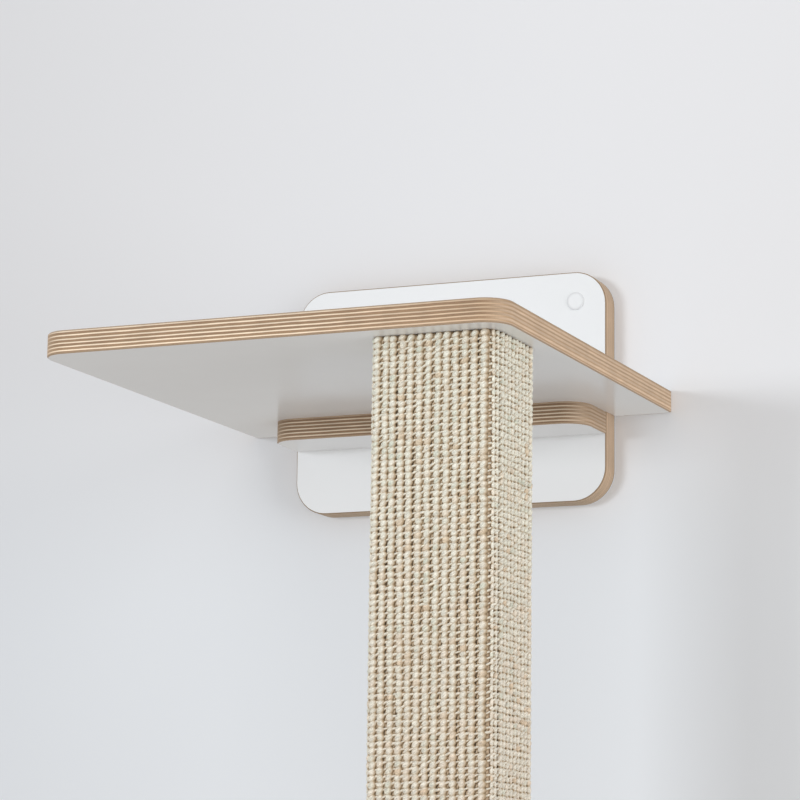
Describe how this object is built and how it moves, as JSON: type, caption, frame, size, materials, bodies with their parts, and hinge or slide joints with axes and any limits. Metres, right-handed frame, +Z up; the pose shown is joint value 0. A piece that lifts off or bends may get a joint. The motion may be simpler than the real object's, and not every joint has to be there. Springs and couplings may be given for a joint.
{
  "type": "cat scratching post",
  "caption": "Wall-fixed cat platform of white-faced birch ply on a wall plate and ledge, carried at its front corner by a sisal-wrapped post that reaches the floor.",
  "frame": {"origin": "on the wall plane, midway between the two wall screw holes in the wall plate", "axes": "+Z up, +Y into the wall, +X to the right as seen from the room"},
  "size_m": [0.35, 0.356, 1.111],
  "materials": {
    "white_laminate": "satin white high-pressure laminate",
    "birch_ply": "oiled birch ply edges",
    "fibreboard": "raw fibreboard",
    "pine": "planed softwood",
    "sisal": "ribbed woven sisal",
    "zinc_steel": "zinc plated",
    "beech": "plain turned beech",
    "white_plastic": "satin moulded plastic",
    "dark_plastic": "matt moulded plastic"
  },
  "bodies": {
    "post": {"wall_plate_back_laminate": "white_laminate", "wall_plate_front_laminate": "white_laminate", "ledge_bottom_laminate": "white_laminate", "ledge_top_laminate": "white_laminate", "platform_bottom_laminate": "white_laminate", "platform_top_laminate": "white_laminate", "wall_plate_core": "birch_ply", "ledge_core": "birch_ply", "platform_core": "birch_ply", "post_front_board": "fibreboard", "post_back_board": "fibreboard", "post_left_board": "fibreboard", "post_right_board": "fibreboard", "post_top_block": "pine", "post_bottom_block": "pine", "sisal_mat": "sisal", "ledge_screws": "zinc_steel", "platform_screws": "zinc_steel", "left_board_screws": "zinc_steel", "right_board_screws": "zinc_steel", "post_bolts": "zinc_steel", "insert_nuts": "zinc_steel", "ledge_dowels": "beech", "foot_glides": "dark_plastic"},
    "wall_cap_left": {"wall_cap_left": "white_plastic"},
    "wall_cap_right": {"wall_cap_right": "white_plastic"},
    "platform_cap_left": {"platform_cap_left": "white_plastic"},
    "platform_cap_right": {"platform_cap_right": "white_plastic"}
  },
  "joints": [
    {"name": "wall_cap_left_pull", "type": "slide", "parent": "post", "child": "wall_cap_left", "axis": [0, -1, 0], "range_m": [0, 0.025]},
    {"name": "wall_cap_right_pull", "type": "slide", "parent": "post", "child": "wall_cap_right", "axis": [0, -1, 0], "range_m": [0, 0.025]},
    {"name": "platform_cap_left_pull", "type": "slide", "parent": "post", "child": "platform_cap_left", "axis": [0, 0, 1], "range_m": [0, 0.025]},
    {"name": "platform_cap_right_pull", "type": "slide", "parent": "post", "child": "platform_cap_right", "axis": [0, 0, 1], "range_m": [0, 0.025]}
  ]
}
